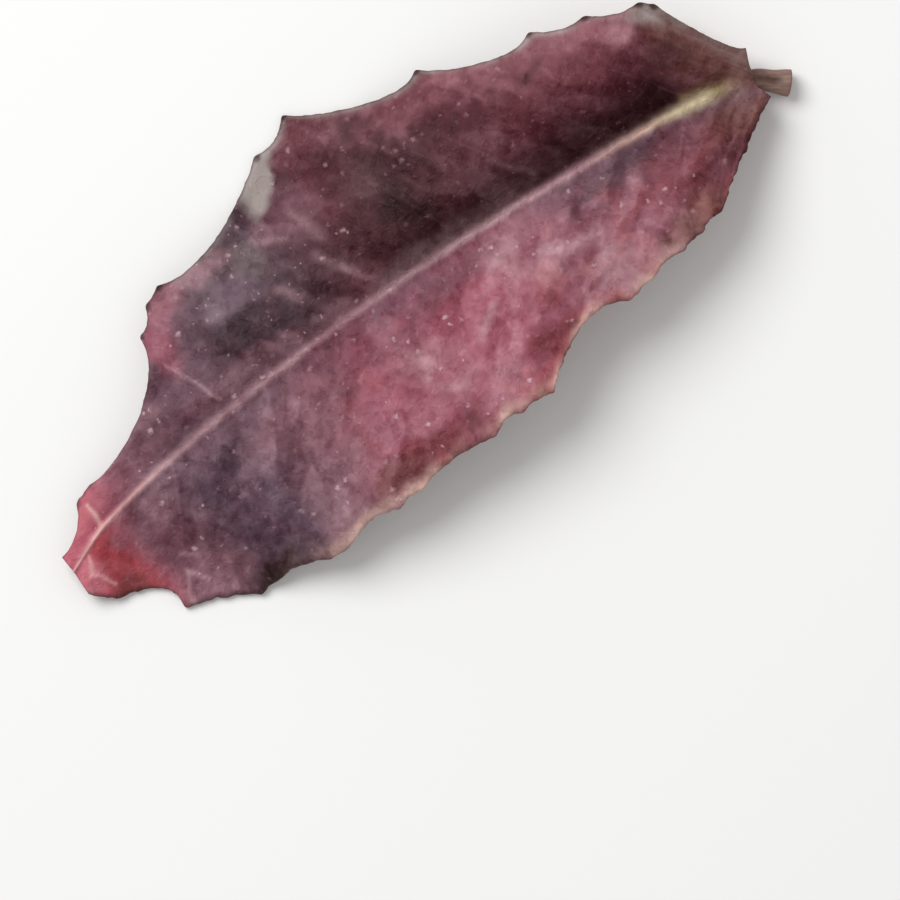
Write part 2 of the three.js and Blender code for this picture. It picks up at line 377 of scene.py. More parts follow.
RIGHT_PATCHES = [
    (DARK_WINE, 2.6, -5.0, 1.8, 1.2, 0.5),
    (DARK_WINE, 26.0, -5.8, 6.5, 2.2, 0.55),
    (DUSKY_ROSE, 4.6, -8.2, 2.4, 1.3, 0.85),
    (RUBY, 9.0, -8.0, 6.0, 1.8, 0.4),
    (DUSKY_ROSE, 9.5, -10.8, 6.5, 2.4, 0.64),
    (DUSKY_ROSE, 18.5, -13.3, 5.6, 2.7, 0.6),
    (DUSKY_ROSE, 26.6, -15.2, 3.4, 2.2, 0.52),
    (WARM_SLATE, 24.0, -3.0, 4.6, 0.8, 0.8),
    (LILAC, 32.0, -3.2, 1.4, 0.9, 0.3),
    (MAUVE, 31.0, -11.0, 2.4, 1.6, 0.55),
    # partly the leaf's own colour, partly painted sheen
    (HAZE, 37.4, -8.2, 2.4, 1.4, 0.6),
    (MAUVE, 40.0, -3.0, 7.0, 1.4, 0.6),
    (RASPBERRY, 43.8, -8.8, 1.7, 2.4, 0.75),
    (DUSKY_ROSE, 42.0, -10.6, 1.6, 1.2, 0.7),
    (LILAC, 38.6, -10.9, 2.6, 1.1, 0.55),
    (LIGHT_PINK, 55.1, -1.4, 1.1, 0.8, 0.35),
    (LILAC, 48.2, -2.4, 2.6, 0.9, 0.16),
    (LILAC, 47.2, -5.0, 1.3, 1.0, 0.35),
    # partly the leaf's own colour, partly painted sheen on the margin at the base
    (ASH, 1.8, -7.7, 1.0, 1.0, 0.55),
    (LILAC, 4.2, -8.0, 1.5, 1.0, 0.3),
    (DUSKY_ROSE, 2.2, -2.3, 1.0, 0.8, 0.25),
    (ASH, 35.0, -9.8, 1.5, 1.4, 0.16),
]
# Smears and single veins: paint, from x, y to x, y, half width, strength
STROKES = [
    (OLIVE, 1.6, -1.0, 3.3, -1.5, 0.4, 0.8),
    (PEARL, 13.8, 2.9, 15.7, 2.6, 0.35, 0.5),
    (PEARL, 16.0, 2.6, 17.8, 1.5, 0.35, 0.5),
    (PEARL, 15.3, 5.2, 14.0, 3.8, 0.3, 0.4),
    (PEARL, 22.6, 2.8, 24.6, 4.1, 0.35, 0.45),
    (PEARL, 27.6, 6.1, 29.3, 5.4, 0.35, 0.4),
    (PEARL, 29.0, 3.2, 29.4, 4.2, 0.6, 0.4),
    (WINE, 17.2, 2.8, 19.8, 5.4, 0.35, 0.3),
    (WINE, 14.2, 5.4, 17.6, 6.1, 0.3, 0.3),
    (WINE, 25.4, 0.2, 26.4, 0.1, 0.5, 0.4),
    (PEARL, 28.4, -3.5, 29.8, -5.4, 0.28, 0.2),
    (PEARL, 29.8, -5.4, 30.8, -7.2, 0.4, 0.22),
    (PEARL, 29.8, -8.2, 30.6, -10.6, 0.4, 0.2),
    (PEARL, 33.5, -5.3, 34.4, -6.8, 0.45, 0.38),
    (PEARL, 32.0, -9.4, 34.0, -10.7, 0.2, 0.25),
    (PEARL, 15.0, -3.2, 17.2, -5.8, 0.22, 0.11),
    (DARK_WINE, 10.5, -9.4, 11.8, -8.8, 0.35, 0.5),
    (PEARL, 42.1, -2.7, 44.0, -7.0, 0.12, 0.36),
    (BLUSH_VEIN, 54.2, -0.4, 54.1, -2.1, 0.17, 0.8),
    (BLUSH_VEIN, 55.7, 3.5, 56.7, 2.1, 0.15, 0.6),
    (BLUSH_VEIN, 56.7, 2.1, 56.2, 0.9, 0.15, 0.6),
    (PEARL, 51.2, 5.6, 52.1, 8.1, 0.18, 0.5),
    (PEARL, 50.2, 7.0, 51.2, 5.6, 0.16, 0.5),
    (PEARL, 49.9, 5.4, 50.8, 4.4, 0.16, 0.35),
]
# Greyish dusk beside the midrib on the left half, partly the leaf's own colour and partly painted sheen: x,
# how far it reaches, strength
DUSK_SHEEN_BAND = [
    (0.0, 1.2, 1.1),
    (6.0, 1.6, 1.1),
    (11.0, 3.2, 1.1),
    (15.0, 2.4, 0.85),
    (19.0, 1.2, 0.3),
    (24.0, 1.8, 0.5),
    (28.0, 3.0, 0.75),
    (34.0, 2.4, 0.65),
    (40.0, 2.2, 0.8),
    (48.0, 2.0, 1.1),
    (53.0, 2.0, 0.0),
]
# Paint of the midrib along the leaf: x, paint
RIB_PAINTS = [
    (-1.25, BROWN),
    (-0.2, BARK),
    (1.1, OLIVE),
    (2.2, CREAM),
    (4.0, CREAM),
    (7.0, TAN),
    (12.0, LILAC),
    (20.0, PALE_VEIN),
    (27.0, DUSKY_LILAC),
    (33.0, LILAC),
    (39.0, DUSKY_LILAC),
    (45.0, DUSKY_LILAC),
    (48.0, PALE_VEIN),
    (53.0, PALE_PINK),
    (54.6, BLUSH_VEIN),
    (56.2, PALE_PINK),
    (57.7, PALE_PINK),
]
# Random borders between paints, in layers: height and size in millimetres, and seed
DRIFT_ALONG = ((1.1, 4.0, 31.0),)
DRIFT_ACROSS = ((0.8, 3.0, 37.0),)
STROKE_BEND_ALONG = ((0.22, 1.3, 53.0),)
STROKE_BEND_ACROSS = ((0.22, 1.1, 57.0),)
SHEEN_PATCH_BORDER = ((0.6, 1.6, 61.0), (0.3, 0.6, 63.0))
# Random strength of paints, in layers: height, size in millimetres, and seed
BLOTS = ((0.6, 1.8, 43.0), (0.5, 0.7, 47.0))
WEAR_AND_SHEEN = ((1.0, 2.8, 41.0), (0.4, 0.9, 45.0))
BLUSH = ((1.0, 6.0, 51.0),)
# How much the blots change the dusk, the patches and the strokes
DUSK_SHEEN_BLOTS = 0.55
PATCH_BLOTS = 0.9
PATCH_BORDER = (0.12, 0.75)
STROKE_BLOTS = 0.8
STROKE_LEAST = 0.3  # share of its strength that a stroke always keeps
# Dark wine beside the midrib on the right half, partly the leaf's own colour and partly painted shade of
# the fold there: along the leaf, and away from the midrib
VALLEY_SHADE_SPAN = ((3.4, 4.6), (18, 32, 0.95, 0))
VALLEY_SHADE_REACH = (1.6, 4.8, 1, 0)
VALLEY_SHADE_BLOTS = 0.8
# The midrib's light band on each half, in half widths of the midrib, and its faint glow on the right half
RIB_LIGHT_LEFT = (3, 6, 1.4, 0.85)
RIB_LIGHT_RIGHT = 1.2
RIB_STRENGTH = 0.95
RIB_GLOW_REACH = 1.1
RIB_GLOW_SPAN = ((13, 19, 0, 0.3), (34, 46, 1, 0))
# Left rim, tan where it is worn and brown between: along the leaf, and inward from the margin
WEAR_AND_SHEEN_LEVEL = 0.6
TANNED_SPAN = ((9, 12), (41, 44, 1, 0))
TAN_REACH = (0.2, 1.4, 0.9, 0)
BROWN_REACH = (0.1, 0.9, 0.7, 0)
# Grey right rim, partly the leaf's own colour and partly painted sheen, widest at the base: along the leaf,
# and inward from the margin
GREY_SPAN = ((0, 2.5, 0.35, 0.7), (34, 42, 1, 0))
GREY_REACH = (2.0, 5.0, 2.4, 0.7)
GREY_FULL_SHARE = 0.2  # of that reach
# Grey patch of painted sheen by the right margin, on both faces
SHEEN_PATCH_SPAN = ((27.8, 29.0), (32.3, 33.6, 1, 0))
SHEEN_PATCH_REACH = (28.8, 31.4, 0.8, 2.6)
SHEEN_PATCH_SOFTNESS = 0.8
SHEEN_PATCH_STRENGTH = 0.9
# Thin dark line along both margins, wider on the left towards the tip, and the dark glands on the right
# teeth
DARK_EDGE_REACH_LEFT = (42, 46, 0.2, 0.4)
DARK_EDGE_REACH_RIGHT = 0.2
DARK_EDGE_FULL = 0.03
DARK_EDGE_STRENGTH = 0.6
DARK_EDGE_LOSS_BY_TAN = 0.8
GLAND_STRENGTH = (45, 52, 0.85, 0.3)
GLAND_REACH = (0.2, 0.5, 1, 0)
# Paints of the underside and the stalk
BLUSH_BORDER = (-0.3, 0.5, 0, 0.8)
UNDER_RIB_HALF_WIDTH = 0.8
UNDER_RIB_STRENGTH = 0.85
STALK_BROWNING = (0.45, 1.0, 0, 0.8)
CHANNEL_STRENGTH = 0.9
# Markings of the upper face: their strength on each half, and where they gain or lose it. The lilac sheen
# is painted sheen, and the pale specks on glands and flecks are painted glints
LILAC_SHEEN_LEFT = 0.38
LILAC_SHEEN_RIGHT = 0.06
LILAC_SHEEN_FROM_RIB = (1.0, 4.0)
LILAC_SHEEN_SPAN = ((6, 12, 0.2, 1), (38, 43, 1, 0.25))
LILAC_SHEEN_TO_MARGIN = (0.45, 0.85, 1, 0.4)
FLUSH_LEFT = 0.22
FLUSH_FROM_RIB = (0.8, 3.5)
FLUSH_SPAN = ((3, 10), (30, 40, 1, 0.2))
UNEVEN_LEFT = 0.92
UNEVEN_RIGHT = (24, 34, 0.7, 0.76)
UNEVEN_TO_TIP = (50, 54, 1, 0.6)
UNEVEN_LOSS_ON_SHEEN_PATCH = 0.7
NET_SHOW = (48, 54, 0.025, 0.085)
VEIN_SHOW_FROM_RIB = (0.0, 0.06, 0, 0.5)
VEIN_SHOW_TO_MARGIN = (0.5, 0.7, 1, 0)
GLINT_GLANDS_LEFT = 0.65
GLINT_GLANDS_RIGHT = (22, 32, 0.22, 0.52)
GLINT_GLANDS_SPAN = ((1, 9), (52, 55, 1, 0.3))
GLINT_FLECKS_LEFT = 0.15
GLINT_FLECKS_RIGHT = (26, 34, 0.12, 0.6)

# Places of the skins in the mesh's list of materials
ON_UPPER, ON_UNDER, ON_STALK = range(3)

# Skins, with noises and cells counted per millimetre
NOISE_RANGE = (0.3, 0.7)  # where a noise's values mostly are
NOISE_PATCH_RANGE = (0.5, 0.66)  # above its middle, for patches with gaps between them
NOISE_MIDDLE = (0.5, 0.5, 0.5)
SCREEN_GAMMA = 2.2
DARKEST = (0.02, 0.02, 0.02)
GRAIN_PER_MM = 7.0
MOTTLE_PER_MM = 0.9
DABS_PER_VEIN = 3.6
DABS_PER_WIDTH = 4.2
DAB_STIR = (1.1, 1.5)
DAB_RANGE = (0.1, 0.9)
LILAC_SHEEN_DABS = (0.45, 0.85, 0, 0.7)
LILAC_SHEEN_PATCHES = (0.3, 1.0)  # per millimetre, seed
SALMON_PATCHES = (0.35, 4.0)
COARSE_HUMPS = (0.45, 7.0)
FINE_HUMPS = (1.3, 17.0)
PITS_FINER = 1.2
PITS_SEED = 3.0  # added to the humps' seed
# How much lighter or darker each makes the upper face
MOTTLE_LIGHT = 0.035
DAB_LIGHT = 0.058
HUMP_LIGHT = 0.035
GRAIN_LIGHT = 0.01
# Veins, and pale specks of the upper face, which are painted glints
NET_LINE = (0.02, 0.2, 1, 0)  # distance from a veinlet
VEIN_LINE = 0.22  # half its width
VEIN_LINE_CORE = 0.35  # share of that
VEIN_BREAKS = (0.35, 0.6, 0.25, 1)
SPECK_STIR = (2.2, 0.5)
SPECK_EDGE = (0.2, 1, 1, 0)
SPECK_PICK = 0.02
SPECK_LEAST = 0.5  # share of a speck's largest radius
GLINT_GLAND_SPECKS = (1.3, 0.3, 0.38)  # cells per millimetre, radius, share of the cells
GLINT_GLAND_CROWDS_PER_MM = 0.3
GLINT_GLAND_CROWDS = (0.42, 0.6, 0.2, 1)
GLINT_FLECK_SPECKS = (1.9, 0.15, 0.5)
GLINT_FLECK_CROWDS_PER_MM = 0.5
GLINT_FLECK_CROWDS = (0.42, 0.6)
# Sheen of the upper face
UPPER_ROUGHNESS = (0.44, 0.56)
GRAIN_ROUGHNESS = 0.05
UPPER_SPECULAR = 0.13
# Heights of the upper face's bump beside its grain's
MOTTLE_HEIGHT = 2.0
HUMP_HEIGHT = 20.0
GLAND_HEIGHT = 6.0
UPPER_BUMP = (0.5, 0.07)  # strength, millimetres
# Underside
UNDER_GRAIN_PER_MM = 8.0
UNDER_MOTTLE_RANGE = (0.3, 0.72)
UNDER_SHADES = (0.82, 1.18)
UNDER_NET_LINE = (0.02, 0.22, 1, 0)
UNDER_NET_STRENGTH = 0.3
UNDER_VEIN_LINE = 0.34
UNDER_VEIN_STRENGTH = 0.55
UNDER_ROUGHNESS = (0.52, 0.68)
UNDER_BUMP = (0.4, 0.05)
# Stalk
STALK_STREAKS = (1.6, 0.2, 0.2)  # their size along the stalk and across it
STALK_SHADES = (0.7, 1.25)
STALK_ROUGHNESS = (0.55, 0.75)
STALK_BUMP = (0.6, 0.1)

# Floor, in metres
FLOOR_HALF = 2.0
FLOOR_GAP = 0.00003  # keeps it clear of the leaf's lowest points
FLOOR_COLOUR = (0.93, 0.93, 0.92, 1)
FLOOR_ROUGHNESS = 0.8

# Light, in metres: a soft box beyond the right margin, and an even white surround
KEY_HEADING = (0.17, -0.98)
KEY_ELEVATION = math.radians(52)
KEY_DISTANCE = 0.6
KEY_SIZE = 0.4
KEY_POWER = 2.6
SURROUND_COLOUR = (1, 1, 1, 1)
SURROUND_STRENGTH = 0.5

# Camera, in millimetres: straight down, turned so that the tip points to the picture's lower left
CAMERA_TURN = math.radians(145.025)
CAMERA_OVER = (4.18, 12.29)
CAMERA_HEIGHT = 453.0
SEEN_WIDTH = 63.34
LEAF_LEVEL = 3.0


def lerp(start, end, share):
    return start + (end - start) * share


def ramp(value, low, high, start=0.0, end=1.0):
    """From start to end, smoothly, as the value goes from low to high."""
    share = np.clip((value - low) / (high - low), 0, 1)
    return lerp(start, end, share * share * (3 - 2 * share))


def within(value, span):
    """How far the value has come in both of the ranges of a span."""
    start, end = span
    return ramp(value, *start) * ramp(value, *end)


def hill(distance, half_width):
    """One at no distance, and less further away, like a bell."""
    return np.exp(-((distance / half_width) ** 2))


def along(table, column, x):
    """Smooth value at x of one column of a table whose rows start with x."""
    knots = np.array(table, float)
    at = knots[:, 0]
    value = knots[:, column]
    last = len(knots) - 1
    before = np.maximum(np.arange(last + 1) - 1, 0)
    after = np.minimum(np.arange(last + 1) + 1, last)
    slope = (value[after] - value[before]) / (at[after] - at[before])
    i = np.clip(np.searchsorted(at[1:], x), 0, last - 1)
    span = at[i + 1] - at[i]
    share = np.clip((x - at[i]) / span, 0, 1)
    rise = value[i + 1] - value[i]
    bow = lerp(slope[i] * span - rise, rise - slope[i + 1] * span, share)
    return lerp(value[i], value[i + 1], share) + share * (1 - share) * bow


def wander(x, y, layers, seed=0.0):
    """Smooth random values over the leaf, the sum of layers of hills with a height, a size and a seed."""
    total = np.zeros(np.shape(x))
    for height, size, own_seed in layers:
        places = zip(np.ravel(x) / size, np.ravel(y) / size)
        values = [noise.noise(Vector((u, v, own_seed + seed))) for u, v in places]
        total += height * np.reshape(values, np.shape(x))
    return total


def evened(values, spread):
    """The values of a run of rows, smoothed over a spread of rows."""
    reach = 3 * spread
    weights = np.exp(-0.5 * (np.arange(-reach, reach + 1) / spread) ** 2)
    padded = np.pad(values, reach, mode="reflect", reflect_type="odd")
    return np.convolve(padded, weights / weights.sum(), mode="valid")


def laid_on_floor(z):
    blend = (z + FLOOR_BLEND) ** 2 / (4 * FLOOR_BLEND)
    return np.where(z <= -FLOOR_BLEND, 0, np.where(z >= FLOOR_BLEND, z, blend))


def margin(teeth, inward_sign, seed):
    """A margin's points, one of them on every tooth tip, and how far the blade swells up behind each."""
    knob_height = RIGHT_KNOB if inward_sign > 0 else LEFT_KNOB
    fray_height = RIGHT_FRAY if inward_sign > 0 else LEFT_FRAY
    tip_x, tip_y, scallop_depth, deepest_share = np.array(teeth).T
    tips = np.stack([tip_x, tip_y], axis=1)
    chords = np.diff(tips, axis=0)
    lengths = np.hypot(chords[:, 0], chords[:, 1])
    reached = np.cumsum(lengths + SHORT_SCALLOP_BONUS)
    first_rows = np.concatenate([[0], np.rint(ROWS * reached / reached[-1])])
    rows = np.arange(ROWS + 1)
    i = np.clip(np.searchsorted(first_rows, rows, side="right") - 1, 0, len(chords) - 1)
    share = ramp(rows, first_rows[i], first_rows[i + 1])
    skewed = share ** (math.log(0.5) / np.log(deepest_share[i]))
    depth = scallop_depth[i] * np.maximum(np.sin(np.pi * skewed), 0) ** SCALLOP_ROUNDNESS
    knob = knob_height * hill(lengths[i] * np.minimum(share, 1 - share), KNOB_SIZE)
    inward = inward_sign * np.stack([-chords[i, 1], chords[i, 0]], axis=1) / lengths[i, None]
    points = tips[i] + chords[i] * share[:, None] + inward * (depth - knob)[:, None]
    x = evened(points[:, 0], TIP_ROUNDING)
    y = evened(points[:, 1], TIP_ROUNDING)
    fray = fray_height * wander(x, y, FRAY, seed) * np.minimum(FRAY_FADE * share * (1 - share), 1)
    swell = scallop_depth[i] * np.sin(np.pi * skewed) ** 2
    return np.stack([x, y], axis=1) + inward * fray[:, None], swell


def towards_edge(start, edge, t):
    """Rows from the midrib to an evened margin, which bend to the true margin's teeth near their end."""
    even_edge = evened(edge, EVENING)
    return lerp(start[:, None], even_edge[:, None], t) + (edge - even_edge)[:, None] * t**TOOTH_REACH


def out_of_fold(distance):
    """A distance from the midrib, shortened by the rounded bottom of the fold."""
    return np.hypot(distance, VALLEY_ROUNDING) - VALLEY_ROUNDING


def half_of_blade(teeth, inward_sign, half, skew, veins, seed):
    """One half's grid from the midrib to the margin: its sheet, and where each point is on the leaf."""
    edge, swell = margin(teeth, inward_sign, seed)
    rows = np.arange(ROWS + 1) / ROWS
    rib_x = lerp(MIDRIB[0][0], TIP_X, rows**MIDRIB_CROWDING)
    rib_y = along(MIDRIB, 1, rib_x)
    width = np.hypot(edge[:, 0] - rib_x, edge[:, 1] - rib_y)[:, None]
    rim = np.minimum(RIM_WIDTH, NARROW_RIM_SHARE * width) / width
    inner = (np.arange(INNER_COLUMNS + 1) / INNER_COLUMNS) ** COLUMN_CROWDING
    t = np.concatenate([inner * (1 - rim), 1 - rim * (1 - np.array(RIM_STEPS))], axis=1)
    x = towards_edge(rib_x, edge[:, 0], t)
    y = towards_edge(rib_y, edge[:, 1], t)

    apart = np.hypot(x - rib_x[:, None], y - rib_y[:, None])
    even_width = evened(width[:, 0], EVENING)[:, None]
    out = apart / even_width
    climb = out_of_fold(apart) / out_of_fold(even_width)
    bulge = along(half, 1, x) * np.sin(np.pi * np.minimum(climb, 1) ** skew)
    ruffle = RUFFLE * swell[:, None] * out**RUFFLE_REACH
    undulation = wander(x, y, UNDULATION, seed) * ramp(out, *UNDULATION_RISE)
    sheet = lerp(along(MIDRIB, 2, x), along(half, 2, x), climb) + bulge + ruffle + undulation

    root = (x - VEIN_RUN * out) / (1 - VEIN_RUN * VEIN_RUN_LOST / TIP_X * out)
    stations, clearness = np.array(veins).T
    counted = np.arange(len(stations))
    phase = np.interp(root, stations, counted) + wander(x, y, VEIN_BEND, seed)
    return {
        "x": x,
        "y": y,
        "z": laid_on_floor(sheet),
        "t": t,
        "out": out,
        "side": np.full(x.shape, float(-inward_sign)),
        "from_rib": t * width,
        "from_margin": (1 - t) * width,
        "rim": np.clip(1 - (1 - t) / rim, 0, 1),
        "phase": phase,
        "clearness": np.interp(phase, counted, clearness),
    }


def net_of_veinlets(x, y):
    """Distance, in millimetres, from the veinlets that part the blade into small cells."""
    spread = np.random.default_rng(NET_SEED)
    cells = []
    for u in np.arange(*NET_ALONG, NET_CELL):
        for v in np.arange(*NET_ACROSS, NET_CELL):
            shift = spread.uniform(-NET_JITTER, NET_JITTER, 2) * NET_CELL
            cells.append((u + shift[0] + NET_SLANT * v % NET_CELL, v + shift[1], 0))
    tree = kdtree.KDTree(len(cells))
    for index, cell in enumerate(cells):
        tree.insert(cell, index)
    tree.balance()
    gaps = []
    for u, v in zip(x.ravel(), y.ravel()):
        nearest, second = tree.find_n((u, v, 0), 2)
        gaps.append(second[2] - nearest[2])
    return np.array(gaps).reshape(x.shape)


def blade():
    """The blade's grid from right margin to left margin: places on the leaf, upper points, lower points."""
    right = half_of_blade(RIGHT_TEETH, 1, RIGHT_HALF, RIGHT_BULGE_SKEW, RIGHT_VEINS, RIGHT_SEED)
    left = half_of_blade(LEFT_TEETH, -1, LEFT_HALF, LEFT_BULGE_SKEW, LEFT_VEINS, LEFT_SEED)
    leaf = {name: np.concatenate([right[name][:, :0:-1], left[name]], axis=1) for name in left}
    x, y, t, phase = leaf["x"], leaf["y"], leaf["t"], leaf["phase"]
    fork = ramp(leaf["out"], *VEIN_FORKING)
    leaf["vein_a"] = np.sin(np.pi * (phase - fork))
    leaf["vein_b"] = np.sin(np.pi * (phase + fork))
    leaf["net"] = net_of_veinlets(x, y)

    rib_width = along(RIB_WIDTH, 1, x)
    rib = ramp(x, *RIB_FOOT_RUN, RIB_FOOT_CREST, RIB_CREST) * hill(leaf["from_rib"], rib_width)
    groove = RIB_GROOVE * hill(leaf["from_rib"] - GROOVE_PLACE * rib_width, GROOVE_HALF_WIDTH)
    from_vein = np.minimum(abs(leaf["vein_a"]), abs(leaf["vein_b"])) * VEIN_SPACING / np.pi
    inside = within(t, VEIN_SPAN)
    vein = hill(from_vein, VEIN_HALF_WIDTH) * inside
    quilt = QUILT * (np.sin(np.pi * phase) ** 2 - 0.5) * inside
    cells = NET_RELIEF * ramp(leaf["net"], *NET_SLOPE) * ramp(t, *NET_RISE)
    pucker = wander(x, y, PUCKER) * ramp(t, *PUCKER_RISE)
    rounding = 1 - np.sqrt(1 - leaf["rim"] ** 2)
    above = lerp(BLADE_THICKNESS, RIM_THICKNESS, t) + rib - groove + VEIN_CREST * vein
    above += quilt + cells + pucker - RIM_DROP * rounding
    keel_depth = lerp(KEEL_DEPTH_AT_STALK, KEEL_DEPTH_AT_TIP, np.clip(x / TIP_X, 0, 1))
    keel = keel_depth * hill(leaf["from_rib"], KEEL_HALF_WIDTH)
    below = keel + VEIN_BELOW * vein - RIM_RISE * rounding

    upper = np.stack([x, y, leaf["z"] + above], axis=2)
    lower = np.stack([x, y, np.maximum(leaf["z"] - below, 0)], axis=2)
    return leaf, upper, lower


def stalk(width):
    """Upper and lower points of the stalk's rings, from its foot to the blade, and its channel's depth."""
    knots = np.array(STALK_PATH)
    measured = np.concatenate([[0], np.cumsum(np.linalg.norm(np.diff(knots, axis=0), axis=1))])
    table = np.column_stack([measured / measured[-1], knots])
    share = np.arange(STALK_RINGS) / STALK_RINGS
    centre = np.stack([along(table, column, share) for column in (1, 2, 3)], axis=1)
    forward = np.gradient(centre, axis=0)
    forward /= np.linalg.norm(forward, axis=1, keepdims=True)
    leftward = np.cross((0, 0, 1), forward)
    leftward /= np.linalg.norm(leftward, axis=1, keepdims=True)
    upward = np.cross(forward, leftward)
    radius = ramp(share, *STALK_TAPER, STALK_FOOT_RADIUS, STALK_RADIUS)[:, None]
    angle = np.linspace(-STALK_SIDE_ANGLE, STALK_SIDE_ANGLE, width)[None, :]
    channel = hill(angle, CHANNEL_HALF_ANGLE) * ramp(share, *CHANNEL_START)[:, None]
    sideways = centre[:, None, :] + leftward[:, None, :] * (radius * np.sin(angle))[:, :, None]
    rise = radius * np.cos(angle)
    upper = sideways + upward[:, None, :] * (rise - STALK_CHANNEL * channel)[:, :, None]
    lower = sideways - upward[:, None, :] * rise[:, :, None]
    lower[:, :, 2] = np.maximum(lower[:, :, 2], 0)
    return upper, lower, channel


def blended(colour, paint, weight):
    """The colour with a paint laid over it, where weight is how much covers each point."""
    return colour + (paint - colour) * weight[:, :, None]


def paint_along(table, x):
    """Paint at x of a table of places along the leaf and their paints."""
    places, paints = zip(*table)
    return np.stack([np.interp(x, places, column) for column in np.array(paints).T], axis=2)


def patched(leaf, blots):
    """Ground paint of the upper face, with the dusk band, the dark valley and the soft patches on it; the
    dusk band and some patches are partly painted sheen, some patches partly painted shadow, and the valley
    partly painted shade.
    """
    x = leaf["x"] + wander(leaf["x"], leaf["y"], DRIFT_ALONG)
    y = leaf["y"] + wander(leaf["x"], leaf["y"], DRIFT_ACROSS)
    from_rib = leaf["from_rib"]
    on_left = leaf["side"] > 0
    colour = np.where(on_left[:, :, None], paint_along(LEFT_GROUND, x), paint_along(RIGHT_GROUND, x))
    # partly painted sheen: the greyish dusk beside the midrib on the left half
    dusk_sheen = hill(from_rib, along(DUSK_SHEEN_BAND, 1, leaf["x"])) * along(DUSK_SHEEN_BAND, 2, leaf["x"])
    colour = blended(colour, DUSK, np.clip(dusk_sheen * (1 + DUSK_SHEEN_BLOTS * blots), 0, 1) * on_left)
    # partly painted shade: dark wine in the fold beside the midrib on the right half
    valley_shade = within(x, VALLEY_SHADE_SPAN) * ramp(from_rib - VALLEY_SHADE_BLOTS * blots, *VALLEY_SHADE_REACH)
    colour = blended(colour, DARK_WINE, valley_shade * ~on_left)
    for mask, patches in ((on_left, LEFT_PATCHES), (~on_left, RIGHT_PATCHES)):
        for paint, at_x, at_y, reach_x, reach_y, strength in patches:
            away = np.hypot((x - at_x) / reach_x, (y - at_y) / reach_y)
            cover = ramp(hill(away, 1) * (1 + PATCH_BLOTS * blots), *PATCH_BORDER)
            colour = blended(colour, paint, strength * cover * mask)
    return colour


def from_line(x, y, start, end):
    """Distance of each point from a straight line between two points."""
    run = end - start
    share = np.clip(((x - start[0]) * run[0] + (y - start[1]) * run[1]) / (run @ run), 0, 1)
    return np.hypot(x - start[0] - share * run[0], y - start[1] - share * run[1])


def stroked(leaf, colour, blots):
    """The colour with the smears and single veins on it."""
    x = leaf["x"] + wander(leaf["x"], leaf["y"], STROKE_BEND_ALONG)
    y = leaf["y"] + wander(leaf["x"], leaf["y"], STROKE_BEND_ACROSS)
    uneven = np.clip(1 + STROKE_BLOTS * blots, STROKE_LEAST, 1)
    for paint, from_x, from_y, to_x, to_y, half_width, strength in STROKES:
        away = from_line(x, y, np.array((from_x, from_y)), np.array((to_x, to_y)))
        colour = blended(colour, paint, strength * uneven * hill(away, half_width))
    return colour


def ribbed(leaf, colour):
    """The colour with the midrib's light band on it, and its glow on the right half."""
    x, from_rib = leaf["x"], leaf["from_rib"]
    on_left = leaf["side"] > 0
    band_width = along(RIB_WIDTH, 1, x) * np.where(on_left, ramp(x, *RIB_LIGHT_LEFT), RIB_LIGHT_RIGHT)
    band = RIB_STRENGTH * hill(from_rib, band_width)
    glow = hill(from_rib, RIB_GLOW_REACH) * within(x, RIB_GLOW_SPAN) * ~on_left
    return blended(colour, paint_along(RIB_PAINTS, x), np.maximum(band, glow))


def sheen_patch(leaf):
    """How much of each point the grey patch of painted sheen by the right margin covers."""
    x, y = leaf["x"], leaf["y"]
    span = within(x, SHEEN_PATCH_SPAN) * (leaf["side"] < 0)
    reach = ramp(x, *SHEEN_PATCH_REACH) + wander(x, y, SHEEN_PATCH_BORDER)
    return span * ramp(leaf["from_margin"], reach - SHEEN_PATCH_SOFTNESS, reach, 1, 0)


def edged(leaf, colour):
    """The colour with rims that are partly worn and partly painted sheen, the grey patch of painted sheen,
    thin dark margin lines and dark tooth tips.
    """
    x, y = leaf["x"], leaf["y"]
    inward = leaf["from_margin"]
    on_left = leaf["side"] > 0
    wear_and_sheen = np.clip(WEAR_AND_SHEEN_LEVEL + wander(x, y, WEAR_AND_SHEEN), 0, 1)
    tanned = within(x, TANNED_SPAN) * on_left
    colour = blended(colour, TAN, tanned * wear_and_sheen * ramp(inward, *TAN_REACH))
    colour = blended(colour, BROWN, tanned * (1 - wear_and_sheen) * ramp(inward, *BROWN_REACH))
    # partly painted sheen: grey along the right rim
    greyed = within(x, GREY_SPAN) * ~on_left
    grey_reach = ramp(x, *GREY_REACH)
    grey = ramp(inward, GREY_FULL_SHARE * grey_reach, grey_reach, 1, 0)
    colour = blended(colour, ASH, greyed * wear_and_sheen * grey)
    # painted sheen: the grey patch by the right margin
    colour = blended(colour, ASH, SHEEN_PATCH_STRENGTH * sheen_patch(leaf))
    # a thin dark line along both margins, wider on the left towards the tip
    dark_edge_reach = np.where(on_left, ramp(x, *DARK_EDGE_REACH_LEFT), DARK_EDGE_REACH_RIGHT)
    dark_edge = ramp(inward, DARK_EDGE_FULL, dark_edge_reach, DARK_EDGE_STRENGTH, 0)
    colour = blended(colour, GLAND, dark_edge * (1 - DARK_EDGE_LOSS_BY_TAN * tanned))
    right_tips = [tooth[:2] for tooth in RIGHT_TEETH[1:-1]]
    from_tip = np.min([np.hypot(x - tip_x, y - tip_y) for tip_x, tip_y in right_tips], axis=0)
    return blended(colour, GLAND, ramp(x, *GLAND_STRENGTH) * ramp(from_tip, *GLAND_REACH))


